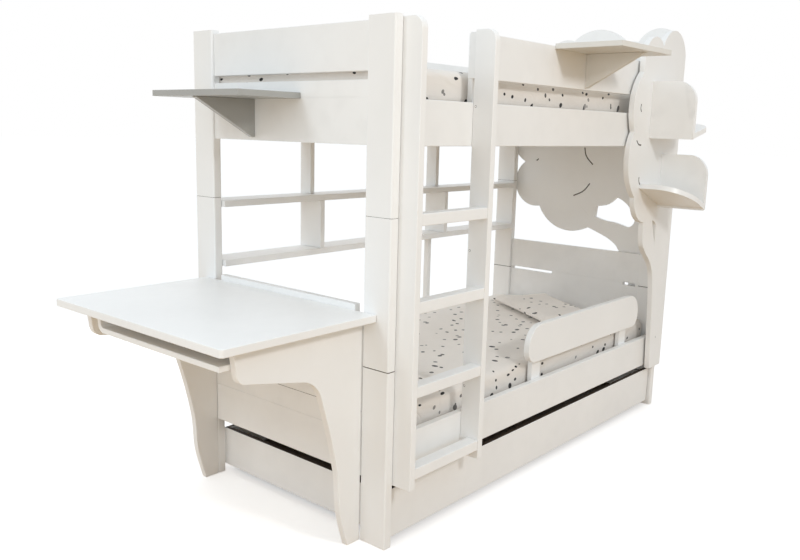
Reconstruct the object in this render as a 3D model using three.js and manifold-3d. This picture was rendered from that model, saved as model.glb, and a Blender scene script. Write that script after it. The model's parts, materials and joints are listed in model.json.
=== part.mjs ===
import * as THREE from 'three';
import { mergeVertices } from 'three/addons/utils/BufferGeometryUtils.js';
import Module from 'manifold-3d';

const wasm = await Module();
wasm.setup();

// A bunk bed with a desk at its left end, in millimetres.
// X runs along the bed to the right, Y from its front to its back, and Z up.
// The pieces are placed from the foot of the front left post, at its outer front corner.

// Gaps between pieces
const clearance = 0.3;
const mattressPlay = 1;

// Mattresses and pillow
const mattressLength = 2000;
const mattressWidth = 900;
const mattressHeight = 140;
const mattressEdge = 28;
const mattressCrown = 6;
const mattressDrawIn = 5;
const pillowLength = 560;
const pillowWidth = 330;
const pillowHeight = 32;
const pillowEdge = 15;
const pillowCrown = 16;
const pillowDrawIn = 16;
const pillowTurn = 60;
const pillowFromEnd = 360;
const pillowFromFront = 450;

// Posts, each of two lengths that stand on each other
const postWidth = 36;
const postDepth = 112;
const postHeight = 1700;
const postEdge = 6;
const lowerSeam = 608;
const upperSeam = 1095;
const seamGroove = 1.2;

// Rails and guards
const boardThickness = 25;
const railHeight = 145;
const railSetback = 9;
const upperRailBottom = 1314;
const lowerRailBottom = 229;
const lowerRailHeight = 146;
const guardHeight = 150;
const guardBottom = 1538;
const entryWidth = 377;
const battenFromEntry = 25;
const battenWidth = 30;
const battenThickness = 22;
const battenAboveSlats = 5;

// End boards
const endThickness = 22;
const upperEndHeight = 199;
const upperEndSetback = 10;
const lowerEndThickness = 24;
const lowerEndTop = 767;
const leftTabTop = 808;
const leftTabFromPost = 36;
const endSlotBottom = 599;
const endSlotHeight = 15;
const endSlotLength = 267;
const shortSlotLength = 67;
const shortSlotFromPost = 19;
const endGroove = 1.5;
const lowerEndGrooveHeight = 452;

// Low guard of the lower bed
const lowGuardLeft = 853;
const lowGuardLength = 984;
const lowGuardBottom = 455;
const lowGuardHeight = 155;
const lowGuardTopRadius = 90;
const lowGuardFootRadius = 55;
const uprightWidth = 64;
const uprightThickness = 22;
const leftUprightInset = 72;
const rightUprightInset = 67;

// Slatted bases
const upperSlatTop = 1430;
const lowerSlatTop = 315;
const slatWidth = 75;
const slatThickness = 18;
const slatCount = 14;
const ledgeWidth = 24;
const ledgeHeight = 30;
const baseInset = 14;

// Ladder
const ladderWidth = 400;
const stileThickness = 26;
const stileDepth = 81;
const ladderBottom = 217;
const ladderTop = 1695;
const stileTopRadius = 38;
const stileEdgeRadius = 3;
const rungCount = 4;
const firstRungTop = 288;
const rungPitch = 275.3;
const rungHeight = 38;
const rungDepth = 46;
const rungSetback = 2;

// Desk
const deskDepth = 600;
const deskLength = 892;
const deskHeight = 788;
const deskThickness = 25;
const deskCorner = 12;
const deskSideReach = 516;
const deskFootReach = 58;
const trayDepth = 545;
const trayHeight = 68;
const trayThickness = 18;
const trayEnd = 778;
const trayCorner = 34;

// Drawer on wheels under the lower bed
const drawerPlay = 9;
const drawerSetback = 15;
const drawerDepth = 888;
const drawerFloorGap = 25;
const drawerFrontHeight = 172;
const drawerSideHeight = 152;
const drawerThickness = 18;
const drawerBottomThickness = 12;
const drawerBottomLift = 36;
const wheelRadius = 28;
const wheelWidth = 18;
const wheelEdge = 3;
const wheelStub = 40;
const wheelStubRadius = 5;
const wheelFromEnd = 90;

// Tree panels and their shelves
const treeThickness = 25;
const treeEndThickness = 22;
const treeFoot = 219;
const treeInset = 6;
const treeFrontReach = 528;
const treeFrontTop = 1843;
const trunkFootWidth = 127;
const treeEndReach = 950;
const treeEndTop = 1886;
const trunkEndFootWidth = 150;
const treeShelfThickness = 22;
const treeShelfTopRadius = 90;
const treeShelfFootRadius = 8;
const highShelfLeft = 1730;
const highShelfBottom = 1351;
const highShelfHeight = 252;
const highShelfDepth = 200;
const highShelfSlope = 12;
const highShelfRun = 250;
const highShelfCornerRun = 110;
const highShelfCornerDepth = 140;
const lowShelfRight = 1909;
const lowShelfBottom = 1030;
const lowShelfHeight = 250;
const lowShelfDepth = 218;
const lowShelfSlope = 21.7;
const lowShelfRun = 262;
const lowShelfCornerRun = 175;
const lowShelfCornerDepth = 150;

// Hanging shelves
const hangingThickness = 20;
const creamLength = 423;
const creamDepth = 274;
const creamLeft = 919;
const creamBottom = 1676;
const creamGussetCentre = 256;
const greyLength = 464;
const greyDepth = 260;
const greyFront = 420;
const greyBottom = 1456;
const greyGussetCentre = 217;
const gussetThickness = 22;
const gussetHeight = 130;
const gussetReach = 242;
const gussetTip = 3;
const gussetFoot = 10;

// Shelves at the back of the lower bed
const backShelfDepth = 128;
const backShelfThickness = 25;
const backShelfLow = 832;
const backShelfHigh = 1059;
const backUprightThickness = 24;
const backUprightHighDepth = 63;
const backUprightFootDepth = 29;
const backUprightFromEnd = 499;
const backUprightSpacing = 858;

// Sizes that follow from those above
const bedLength = mattressLength + 2 * (postWidth + mattressPlay);
const rightPost = bedLength - postWidth;
const innerFront = railSetback + boardThickness;
const innerLeft = postWidth + clearance;
const innerRight = rightPost - clearance;
const behindGuards = innerFront + clearance + Math.max(uprightThickness, battenThickness);
const mattressFront = behindGuards + 4 * mattressPlay;
const railBack = mattressFront + mattressWidth + 4 * mattressPlay - clearance;
const bedWidth = railBack + innerFront;

// Curve steps for each arc of an outline, and for the small corners of a post
const arcSteps = 10;
const cornerSteps = 4;

const bed = new THREE.Group();
const drawer = new THREE.Group();

function lacquer(color, roughness = 0.42) {
  return new THREE.MeshStandardMaterial({ color, roughness, metalness: 0 });
}

function whiteLacquer() {
  return lacquer(0xf2efe9);
}

function greyLacquer() {
  return lacquer(0xa8a7a3);
}

function creamLacquer() {
  return lacquer(0xe9e2c8);
}

function sheetFabric() {
  return lacquer(0xf0ece8, 0.95);
}

function wheelPlastic() {
  return lacquer(0x2c2c2e, 0.6);
}

function addPiece(name, geometry, material, parent = bed) {
  const mesh = new THREE.Mesh(geometry, material);
  mesh.name = name;
  parent.add(mesh);
  return mesh;
}

function span(range) {
  return range[1] - range[0];
}

function middle(range) {
  return (range[0] + range[1]) / 2;
}

// A box between two values on each axis
function block(x, y, z) {
  const geometry = new THREE.BoxGeometry(span(x), span(y), span(z));
  geometry.translate(middle(x), middle(y), middle(z));
  return geometry;
}

// A plain board, with its mesh placed at its middle
function addBoard(name, x, y, z, material = whiteLacquer(), parent = bed) {
  const geometry = new THREE.BoxGeometry(span(x), span(y), span(z));
  const mesh = addPiece(name, geometry, material, parent);
  mesh.position.set(middle(x), middle(y), middle(z));
  return mesh;
}

function extrude(shape, depth, curveSegments = arcSteps) {
  return new THREE.ExtrudeGeometry(shape, { depth, bevelEnabled: false, curveSegments });
}

// A board sawn to an outline of X and Z, from the front value of Y
function plateFacingFront(shape, front, thickness) {
  const geometry = extrude(shape, thickness);
  geometry.translate(0, 0, -front - thickness);
  geometry.rotateX(Math.PI / 2);
  return geometry;
}

// A board sawn to an outline of Y and Z, from the left value of X
function plateFacingEnd(shape, left, thickness) {
  const geometry = extrude(shape, thickness);
  const axisX = new THREE.Vector3(0, 1, 0);
  const axisY = new THREE.Vector3(0, 0, 1);
  const axisZ = new THREE.Vector3(1, 0, 0);
  geometry.translate(0, 0, left);
  geometry.applyMatrix4(new THREE.Matrix4().makeBasis(axisX, axisY, axisZ));
  return geometry;
}

function toSolid(geometry) {
  const bare = geometry.clone();
  bare.deleteAttribute('normal');
  bare.deleteAttribute('uv');
  const merged = mergeVertices(bare);
  const vertProperties = new Float32Array(merged.attributes.position.array);
  const triVerts = new Uint32Array(merged.index.array);
  return new wasm.Manifold(new wasm.Mesh({ numProp: 3, vertProperties, triVerts }));
}

function toGeometry(solid) {
  const mesh = solid.getMesh();
  const geometry = new THREE.BufferGeometry();
  geometry.setAttribute('position', new THREE.BufferAttribute(mesh.vertProperties, 3));
  geometry.setIndex(new THREE.BufferAttribute(mesh.triVerts, 1));
  geometry.computeVertexNormals();
  return geometry;
}

function cut(geometry, tools) {
  let solid = toSolid(geometry);
  for (const tool of tools) {
    solid = solid.subtract(toSolid(tool));
  }
  return toGeometry(solid);
}

function join(geometries) {
  let solid = toSolid(geometries[0]);
  for (const geometry of geometries.slice(1)) {
    solid = solid.add(toSolid(geometry));
  }
  return toGeometry(solid);
}

// A rectangle whose four corners have their own radii, from the low left one counterclockwise
function roundedRectangle(x0, y0, x1, y1, radii) {
  const [a, b, c, d] = radii;
  const shape = new THREE.Shape();
  shape.moveTo(x0 + a, y0);
  shape.lineTo(x1 - b, y0);
  shape.absarc(x1 - b, y0 + b, b, -Math.PI / 2, 0, false);
  shape.lineTo(x1, y1 - c);
  shape.absarc(x1 - c, y1 - c, c, 0, Math.PI / 2, false);
  shape.lineTo(x0 + d, y1);
  shape.absarc(x0 + d, y1 - d, d, Math.PI / 2, Math.PI, false);
  shape.lineTo(x0, y0 + a);
  shape.absarc(x0 + a, y0 + a, a, Math.PI, 1.5 * Math.PI, false);
  return shape;
}

// A round arc from the path's last point through one point to another
function arcThrough(path, via, end) {
  const start = path.currentPoint;
  const b = new THREE.Vector2(via[0] - start.x, via[1] - start.y);
  const c = new THREE.Vector2(end[0] - start.x, end[1] - start.y);
  const area = 2 * b.cross(c);
  const centreX = start.x + (c.y * b.lengthSq() - b.y * c.lengthSq()) / area;
  const centreY = start.y + (b.x * c.lengthSq() - c.x * b.lengthSq()) / area;
  const radius = Math.hypot(start.x - centreX, start.y - centreY);
  const from = Math.atan2(start.y - centreY, start.x - centreX);
  const to = Math.atan2(end[1] - centreY, end[0] - centreX);
  path.absarc(centreX, centreY, radius, from, to, area < 0);
}

function smoothThrough(path, points) {
  path.splineThru(points.map(([x, y]) => new THREE.Vector2(x, y)));
}

// A soft block with rounded edges, a crown on top, drawn-in sides and a flat underside
function cushion(length, width, height, edge, crown, drawIn, steps) {
  const geometry = new THREE.BoxGeometry(2, 2, 2, steps[0], steps[1], steps[2]);
  const position = geometry.attributes.position;
  const inner = [length / 2 - edge, width / 2 - edge, height / 2 - edge];
  for (let i = 0; i < position.count; i += 1) {
    const unit = [position.getX(i), position.getY(i), position.getZ(i)];
    // Steps lie closer together near the edges, where the surface turns
    const eased = unit.map((value) => Math.sin((value * Math.PI) / 2));
    const waist = 1 - eased[2] * eased[2];
    const half = [length / 2, width / 2, height / 2];
    const sideX = half[0] - drawIn * waist * (1 - eased[1] * eased[1]);
    const sideY = half[1] - drawIn * waist * (1 - eased[0] * eased[0]);
    const point = new THREE.Vector3(eased[0] * sideX, eased[1] * sideY, eased[2] * half[2]);
    const core = new THREE.Vector3(
      THREE.MathUtils.clamp(point.x, -inner[0], inner[0]),
      THREE.MathUtils.clamp(point.y, -inner[1], inner[1]),
      THREE.MathUtils.clamp(point.z, -inner[2], inner[2]),
    );
    const outward = point.clone().sub(core);
    if (outward.length() > edge) {
      outward.setLength(edge);
    }
    const surface = core.add(outward);
    const lift = crown * (1 - eased[0] ** 4) * (1 - eased[1] ** 4);
    surface.z += unit[2] > 0 ? lift * unit[2] : 0;
    position.setXYZ(i, surface.x, surface.y, surface.z);
  }
  return toGeometry(toSolid(geometry));
}

// Posts, each a lower length and an upper length with the seam of its middle stage
function addPosts() {
  const places = [
    ['front_left_post', 0, 0],
    ['front_right_post', rightPost, 0],
    ['back_left_post', 0, bedWidth - postDepth],
    ['back_right_post', rightPost, bedWidth - postDepth],
  ];
  const radii = [postEdge, postEdge, postEdge, postEdge];
  const outline = roundedRectangle(0, 0, postWidth, postDepth, radii);
  const deep = [postWidth - seamGroove, postDepth - seamGroove];
  const inner = roundedRectangle(seamGroove, seamGroove, deep[0], deep[1], radii);
  for (const [name, x, y] of places) {
    const short = extrude(outline, lowerSeam - clearance, cornerSteps);
    const lower = addPiece(`${name}_lower`, short, whiteLacquer());
    lower.position.set(x, y, 0);
    const tall = extrude(outline, postHeight - lowerSeam, cornerSteps);
    const core = extrude(inner, seamGroove, cornerSteps);
    const ring = cut(extrude(outline, seamGroove, cornerSteps), [core]);
    ring.translate(0, 0, upperSeam - lowerSeam);
    const upper = addPiece(`${name}_upper`, cut(tall, [ring]), whiteLacquer());
    upper.position.set(x, y, lowerSeam);
  }
}

function addRails() {
  const along = [innerLeft, innerRight];
  const stages = [
    ['upper', upperRailBottom, railHeight],
    ['lower', lowerRailBottom, lowerRailHeight],
  ];
  const sides = [['front', railSetback], ['back', railBack]];
  for (const [stage, bottom, height] of stages) {
    for (const [side, front] of sides) {
      const y = [front, front + boardThickness];
      addBoard(`${stage}_${side}_rail`, along, y, [bottom, bottom + height]);
    }
  }
}

// Guards of the upper bed; the front one leaves the ladder's top free
function addUpperGuards() {
  const z = [guardBottom, guardBottom + guardHeight];
  const entry = innerLeft + entryWidth;
  addBoard('upper_front_guard', [entry, innerRight], [railSetback, innerFront], z);
  addBoard('upper_back_guard', [innerLeft, innerRight], [railBack, railBack + boardThickness], z);
  const battenY = [innerFront + clearance, innerFront + clearance + battenThickness];
  const battenZ = [upperSlatTop + battenAboveSlats, z[1]];
  const battenLeft = entry + battenFromEntry;
  addBoard('guard_batten', [battenLeft, battenLeft + battenWidth], battenY, battenZ);
}

function addUpperEnds() {
  const y = [postDepth + clearance, bedWidth - postDepth - clearance];
  const faces = [
    ['left', upperEndSetback, -1],
    ['right', bedLength - upperEndSetback - endThickness, 1],
  ];
  for (const [side, left, outward] of faces) {
    const x = [left, left + endThickness];
    const seam = upperRailBottom + railHeight;
    const face = outward < 0 ? x[0] : x[1];
    const groove = block([face - endGroove, face + endGroove], [0, bedWidth], [seam, seam + endGroove]);
    const board = block(x, y, [upperRailBottom, upperRailBottom + upperEndHeight]);
    addPiece(`upper_${side}_end_board`, cut(board, [groove]), whiteLacquer());
    addBoard(`upper_${side}_guard`, x, y, [guardBottom, guardBottom + guardHeight]);
  }
}

// Ends of the lower bed: a rail, and a panel with a long slot, a short slot and grooves.
// The left panel also has a low tab that stands up behind the desk top.
function addLowerEnds() {
  const y = [postDepth + clearance, bedWidth - postDepth - clearance];
  const sides = [['left', 0, 0], ['right', bedLength - lowerEndThickness, bedLength]];
  for (const [side, left, face] of sides) {
    const x = [left, left + lowerEndThickness];
    const railTop = lowerRailBottom + lowerRailHeight;
    addBoard(`lower_${side}_end_rail`, x, y, [lowerRailBottom, railTop]);
    let panel = block(x, y, [railTop + clearance, lowerEndTop]);
    if (side === 'left') {
      const tabY = [y[0] + leftTabFromPost, y[1] - leftTabFromPost];
      panel = join([panel, block(x, tabY, [lowerEndTop - endGroove, leftTabTop])]);
    }
    const through = [left - 1, left + lowerEndThickness + 1];
    const slotZ = [endSlotBottom, endSlotBottom + endSlotHeight];
    const longY = [y[1] - endSlotLength, y[1] - lowerEndThickness / 2];
    const shortY = [y[0] + shortSlotFromPost, y[0] + shortSlotFromPost + shortSlotLength];
    const inside = face === 0 ? x[1] : x[0];
    const cutters = [block(through, longY, slotZ), block(through, shortY, slotZ)];
    for (const height of [lowerEndGrooveHeight, endSlotBottom + endSlotHeight]) {
      for (const plane of [face, inside]) {
        const across = [plane - endGroove, plane + endGroove];
        cutters.push(block(across, [0, bedWidth], [height, height + endGroove]));
      }
    }
    addPiece(`lower_${side}_end_panel`, cut(panel, cutters), whiteLacquer());
  }
}

function addLowGuard() {
  const right = lowGuardLeft + lowGuardLength;
  const top = lowGuardBottom + lowGuardHeight;
  const radii = [lowGuardFootRadius, lowGuardFootRadius, lowGuardTopRadius, lowGuardTopRadius];
  const outline = roundedRectangle(lowGuardLeft, lowGuardBottom, right, top, radii);
  const parts = [plateFacingFront(outline, railSetback, boardThickness + clearance)];
  const back = innerFront + clearance;
  const foot = lowerSlatTop + battenAboveSlats;
  const lefts = [lowGuardLeft + leftUprightInset, right - rightUprightInset - uprightWidth];
  for (const left of lefts) {
    const upright = block(
      [left, left + uprightWidth],
      [back, back + uprightThickness],
      [foot, top - lowGuardTopRadius / 2],
    );
    parts.push(upright);
  }
  addPiece('low_guard', join(parts), whiteLacquer());
}

// A slatted base: two ledges along the rails with the slats across them
function addSlattedBase(name, slatTop) {
  const x = [innerLeft + baseInset, innerRight - baseInset];
  const y = [innerFront + clearance, railBack - clearance];
  const slatFoot = slatTop - slatThickness;
  const ledgeZ = [slatFoot - ledgeHeight, slatFoot];
  const parts = [
    block(x, [y[0], y[0] + ledgeWidth], ledgeZ),
    block(x, [y[1] - ledgeWidth, y[1]], ledgeZ),
  ];
  const pitch = (span(x) - slatWidth) / (slatCount - 1);
  for (let i = 0; i < slatCount; i += 1) {
    const left = x[0] + i * pitch;
    parts.push(block([left, left + slatWidth], y, [slatFoot, slatTop]));
  }
  addPiece(name, join(parts), whiteLacquer());
}

function addMattress(name, slatTop) {
  const geometry = cushion(
    mattressLength,
    mattressWidth,
    mattressHeight,
    mattressEdge,
    mattressCrown,
    mattressDrawIn,
    [16, 10, 4],
  );
  const mesh = addPiece(name, geometry, sheetFabric());
  const lift = slatTop + clearance + mattressHeight / 2;
  mesh.position.set(bedLength / 2, mattressFront + mattressWidth / 2, lift);
}

function addPillow() {
  const geometry = cushion(
    pillowLength,
    pillowWidth,
    pillowHeight,
    pillowEdge,
    pillowCrown,
    pillowDrawIn,
    [12, 10, 6],
  );
  const mesh = addPiece('pillow', geometry, sheetFabric());
  const mattressTop = lowerSlatTop + clearance + mattressHeight + mattressCrown;
  mesh.rotation.z = THREE.MathUtils.degToRad(pillowTurn);
  mesh.position.set(
    bedLength - pillowFromEnd,
    pillowFromFront,
    mattressTop + clearance + pillowHeight / 2,
  );
}

function addLadder() {
  const back = railSetback - clearance;
  const front = back - stileDepth;
  const radii = [stileEdgeRadius, stileEdgeRadius, stileEdgeRadius, stileTopRadius];
  const outline = roundedRectangle(front, ladderBottom, back, ladderTop, radii);
  const left = innerLeft;
  const right = left + ladderWidth - stileThickness;
  for (const [side, x] of [['left', left], ['right', right]]) {
    addPiece(`ladder_${side}_stile`, plateFacingEnd(outline, x, stileThickness), whiteLacquer());
  }
  const rungX = [left + stileThickness + clearance, right - clearance];
  const rungY = [front + rungSetback, front + rungSetback + rungDepth];
  for (let i = 0; i < rungCount; i += 1) {
    const top = firstRungTop + i * rungPitch;
    addBoard(`ladder_rung_${i + 1}`, rungX, rungY, [top - rungHeight, top]);
  }
}

// A desk side: an arm under the top and a leg against the bed, sawn from one board. A point's
// shares are of the arm's reach, out from the bed, and of the side's top above the floor.
function deskSideOutline(top) {
  const at = (across, up) => [-across * deskSideReach, up * top];
  const shape = new THREE.Shape();
  shape.moveTo(-clearance, 0);
  shape.lineTo(-clearance, top);
  shape.lineTo(-deskSideReach, top);
  shape.lineTo(...at(0.979, 0.904));
  arcThrough(shape, at(0.957, 0.866), at(0.903, 0.851));
  shape.lineTo(...at(0.492, 0.797));
  arcThrough(shape, at(0.397, 0.761), at(0.345, 0.697));
  smoothThrough(shape, [
    at(0.295, 0.590), at(0.250, 0.481), at(0.203, 0.334), at(0.180, 0.163),
    [-deskFootReach, 0],
  ]);
  return shape;
}

function addDesk() {
  const underside = deskHeight - deskThickness - clearance;
  const nearSide = postDepth;
  const farSide = bedWidth - postDepth;
  const front = (bedWidth - deskLength) / 2;
  const corners = [deskCorner, 0, 0, deskCorner];
  const top = roundedRectangle(-deskDepth, front, -clearance, front + deskLength, corners);
  const desktop = addPiece('desk_top', extrude(top, deskThickness), whiteLacquer());
  desktop.position.z = deskHeight - deskThickness;
  const outline = deskSideOutline(underside);
  for (const [name, y] of [['desk_front_side', nearSide], ['desk_back_side', farSide]]) {
    addPiece(name, plateFacingFront(outline, y, boardThickness), whiteLacquer());
  }
  addPiece('desk_tray', deskTray(underside - clearance, nearSide + boardThickness), whiteLacquer());
}

// The tray's floor runs from the front side and turns up to the desk top in a round corner
function deskTray(top, side) {
  const y0 = side + clearance;
  const floor = top - trayHeight;
  const inner = trayCorner - trayThickness;
  const shape = new THREE.Shape();
  shape.moveTo(y0, floor);
  shape.lineTo(trayEnd - trayCorner, floor);
  shape.absarc(trayEnd - trayCorner, floor + trayCorner, trayCorner, -Math.PI / 2, 0, false);
  shape.lineTo(trayEnd, top);
  shape.lineTo(trayEnd - trayThickness, top);
  shape.lineTo(trayEnd - trayThickness, floor + trayCorner);
  shape.absarc(trayEnd - trayCorner, floor + trayCorner, inner, 0, -Math.PI / 2, true);
  shape.lineTo(y0, floor + trayThickness);
  return plateFacingEnd(shape, -trayDepth, trayDepth - clearance);
}

function addDrawer() {
  const x = [postWidth + drawerPlay, rightPost - drawerPlay];
  const inX = [x[0] + drawerThickness, x[1] - drawerThickness];
  const y = [drawerSetback, drawerSetback + drawerDepth];
  const inY = [y[0] + drawerThickness, y[1] - drawerThickness];
  const foot = drawerFloorGap;
  const sideZ = [foot, foot + drawerSideHeight];
  const sideY = [inY[0] + clearance, y[1]];
  const backX = [inX[0] + clearance, inX[1] - clearance];
  const white = () => whiteLacquer();
  addBoard('drawer_front', x, [y[0], inY[0]], [foot, foot + drawerFrontHeight], white(), drawer);
  addBoard('drawer_left_side', [x[0], inX[0]], sideY, sideZ, white(), drawer);
  addBoard('drawer_right_side', [inX[1], x[1]], sideY, sideZ, white(), drawer);
  addBoard('drawer_back', backX, [inY[1], y[1]], sideZ, white(), drawer);
  const bottom = foot + drawerBottomLift;
  const bottomZ = [bottom, bottom + drawerBottomThickness];
  addBoard('drawer_bottom', backX, [sideY[0], inY[1] - clearance], bottomZ, white(), drawer);
  const places = [
    ['front_left', 1, y[0] + wheelFromEnd],
    ['front_right', -1, y[0] + wheelFromEnd],
    ['back_left', 1, y[1] - wheelFromEnd],
    ['back_right', -1, y[1] - wheelFromEnd],
  ];
  for (const [place, inward, wheelY] of places) {
    const wheel = addPiece(`drawer_wheel_${place}`, wheelGeometry(), wheelPlastic(), drawer);
    wheel.rotation.y = inward * (Math.PI / 2);
    const seat = inward > 0 ? inX[0] + clearance : inX[1] - clearance;
    wheel.position.set(seat, wheelY, wheelRadius);
  }
  bed.add(drawer);
}

// A wheel with its stub axle, turned about Z from the axle's end
function wheelGeometry() {
  const steps = 24;
  const profile = [
    [0, 0],
    [wheelStubRadius, 0],
    [wheelStubRadius, wheelStub],
    [wheelRadius - wheelEdge, wheelStub],
    [wheelRadius, wheelStub + wheelEdge],
    [wheelRadius, wheelStub + wheelWidth - wheelEdge],
    [wheelRadius - wheelEdge, wheelStub + wheelWidth],
    [0, wheelStub + wheelWidth],
  ];
  const geometry = new THREE.LatheGeometry(profile.map(([r, h]) => new THREE.Vector2(r, h)), steps);
  geometry.rotateX(Math.PI / 2);
  return geometry;
}

// The crown and trunk in front of the right end, seen from the front. A point's shares are of
// the crown's reach, to the left of the panel's right edge, and of its top above the floor.
function treeFrontOutline() {
  const right = bedLength - treeInset;
  const at = (across, up) => [right - across * treeFrontReach, up * treeFrontTop];
  const shape = new THREE.Shape();
  shape.moveTo(right, treeFoot);
  shape.lineTo(...at(0, 0.944));
  arcThrough(shape, at(0.246, 1.000), at(0.479, 0.958));
  arcThrough(shape, at(0.665, 0.974), at(0.826, 0.922));
  shape.lineTo(...at(0.826, 0.889));
  arcThrough(shape, at(0.973, 0.814), at(0.924, 0.748));
  arcThrough(shape, at(1.000, 0.689), at(0.835, 0.589));
  arcThrough(shape, at(0.795, 0.552), at(0.616, 0.524));
  smoothThrough(shape, [
    at(0.597, 0.472), at(0.538, 0.447), at(0.381, 0.404), at(0.309, 0.337),
    [right - trunkFootWidth, treeFoot],
  ]);
  const slot = new THREE.Path();
  slot.moveTo(...at(0.434, 0.525));
  arcThrough(slot, at(0.384, 0.521), at(0.347, 0.511));
  slot.lineTo(...at(0.345, 0.458));
  shape.holes.push(slot);
  return shape;
}

// The crown on the right end, seen from the end. A point's shares are of the crown's reach,
// back from the posts' front edges, and of its top above the floor.
function treeEndOutline() {
  const at = (across, up) => [across * treeEndReach, up * treeEndTop];
  const shape = new THREE.Shape();
  shape.moveTo(0, treeFoot);
  shape.lineTo(trunkEndFootWidth, treeFoot);
  smoothThrough(shape, [
    at(0.168, 0.239), at(0.195, 0.330), at(0.257, 0.405),
    at(0.320, 0.436), at(0.458, 0.464),
  ]);
  arcThrough(shape, at(0.605, 0.449), at(0.775, 0.512));
  arcThrough(shape, at(0.930, 0.549), at(0.885, 0.638));
  arcThrough(shape, at(0.988, 0.710), at(0.953, 0.785));
  arcThrough(shape, at(1.000, 0.832), at(0.911, 0.875));
  arcThrough(shape, at(0.884, 0.913), at(0.779, 0.924));
  arcThrough(shape, at(0.707, 0.972), at(0.610, 0.974));
  arcThrough(shape, at(0.492, 1.000), at(0.310, 0.968));
  shape.lineTo(...at(0.234, 0.964));
  arcThrough(shape, at(0.121, 0.995), at(0, 0.949));
  const opening = new THREE.Path();
  opening.moveTo(...at(0.417, 0.495));
  opening.lineTo(...at(0.411, 0.525));
  smoothThrough(opening, [at(0.363, 0.529), at(0.328, 0.538), at(0.295, 0.554)]);
  arcThrough(opening, at(0.216, 0.529), at(0.181, 0.497));
  arcThrough(opening, at(0.196, 0.480), at(0.240, 0.477));
  smoothThrough(opening, [at(0.298, 0.484), at(0.357, 0.487), at(0.417, 0.495)]);
  shape.holes.push(opening);
  return shape;
}

// A shelf on the tree: an upright side, and a board with a rounded corner that slopes up from
// its foot, to the right when rise is 1 and to the left when it is -1
function treeShelf(sideLeft, bottom, height, depth, rise, slopeDegrees, run, cornerRun, cornerDepth) {
  const back = -treeThickness - 2 * clearance;
  const radii = [treeShelfFootRadius, 0, 0, treeShelfTopRadius];
  const outline = roundedRectangle(back - depth, bottom, back, bottom + height, radii);
  const side = plateFacingEnd(outline, sideLeft, treeShelfThickness);
  const slope = THREE.MathUtils.degToRad(slopeDegrees);
  const start = treeShelfThickness * Math.tan(slope);
  const cornerX = rise * (run - cornerRun);
  const cornerY = cornerDepth - depth;
  const board = new THREE.Shape();
  board.moveTo(rise * start, 0);
  board.lineTo(rise * start, -depth);
  board.lineTo(cornerX, -depth);
  const end = rise > 0 ? 0 : -Math.PI;
  board.absellipse(cornerX, cornerY, cornerRun, cornerDepth, -Math.PI / 2, end, rise < 0, 0);
  board.lineTo(rise * run, 0);
  const sloping = extrude(board, treeShelfThickness);
  sloping.rotateY(-rise * slope);
  sloping.translate(rise > 0 ? sideLeft : sideLeft + treeShelfThickness, back, bottom);
  return join([side, sloping]);
}

function addTree() {
  const front = plateFacingFront(treeFrontOutline(), -treeThickness - clearance, treeThickness);
  addPiece('tree_front_panel', front, whiteLacquer());
  const end = plateFacingEnd(treeEndOutline(), bedLength + clearance, treeEndThickness);
  addPiece('tree_end_panel', end, whiteLacquer());
  const high = treeShelf(
    highShelfLeft,
    highShelfBottom,
    highShelfHeight,
    highShelfDepth,
    1,
    highShelfSlope,
    highShelfRun,
    highShelfCornerRun,
    highShelfCornerDepth,
  );
  addPiece('tree_high_shelf', high, whiteLacquer());
  const low = treeShelf(
    lowShelfRight - treeShelfThickness,
    lowShelfBottom,
    lowShelfHeight,
    lowShelfDepth,
    -1,
    lowShelfSlope,
    lowShelfRun,
    lowShelfCornerRun,
    lowShelfCornerDepth,
  );
  addPiece('tree_low_shelf', low, whiteLacquer());
}

// A hanging shelf as seen from its front, with its wall at Y = 0 and its left end at X = 0
function addHangingShelf(name, length, depth, bottom, centre, material, place) {
  const group = new THREE.Group();
  addBoard(
    `${name}_shelf`,
    [0, length],
    [-depth, -clearance],
    [bottom, bottom + hangingThickness],
    material(),
    group,
  );
  const top = bottom - clearance;
  const gusset = new THREE.Shape();
  gusset.moveTo(-clearance, top - gussetHeight);
  gusset.lineTo(-clearance, top);
  gusset.lineTo(-gussetReach, top);
  gusset.lineTo(-gussetReach, top - gussetTip);
  gusset.lineTo(-clearance - gussetFoot, top - gussetHeight);
  const bracket = plateFacingEnd(gusset, centre - gussetThickness / 2, gussetThickness);
  addPiece(`${name}_shelf_bracket`, bracket, material(), group);
  place(group);
  bed.add(group);
}

function addHangingShelves() {
  const cream = [creamLength, creamDepth, creamBottom, creamGussetCentre];
  addHangingShelf('cream', ...cream, creamLacquer, (group) => {
    group.position.set(creamLeft, railSetback, 0);
  });
  const grey = [greyLength, greyDepth, greyBottom, greyGussetCentre];
  addHangingShelf('grey', ...grey, greyLacquer, (group) => {
    group.rotation.z = -Math.PI / 2;
    group.position.set(upperEndSetback, greyFront + greyLength, 0);
  });
}

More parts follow.
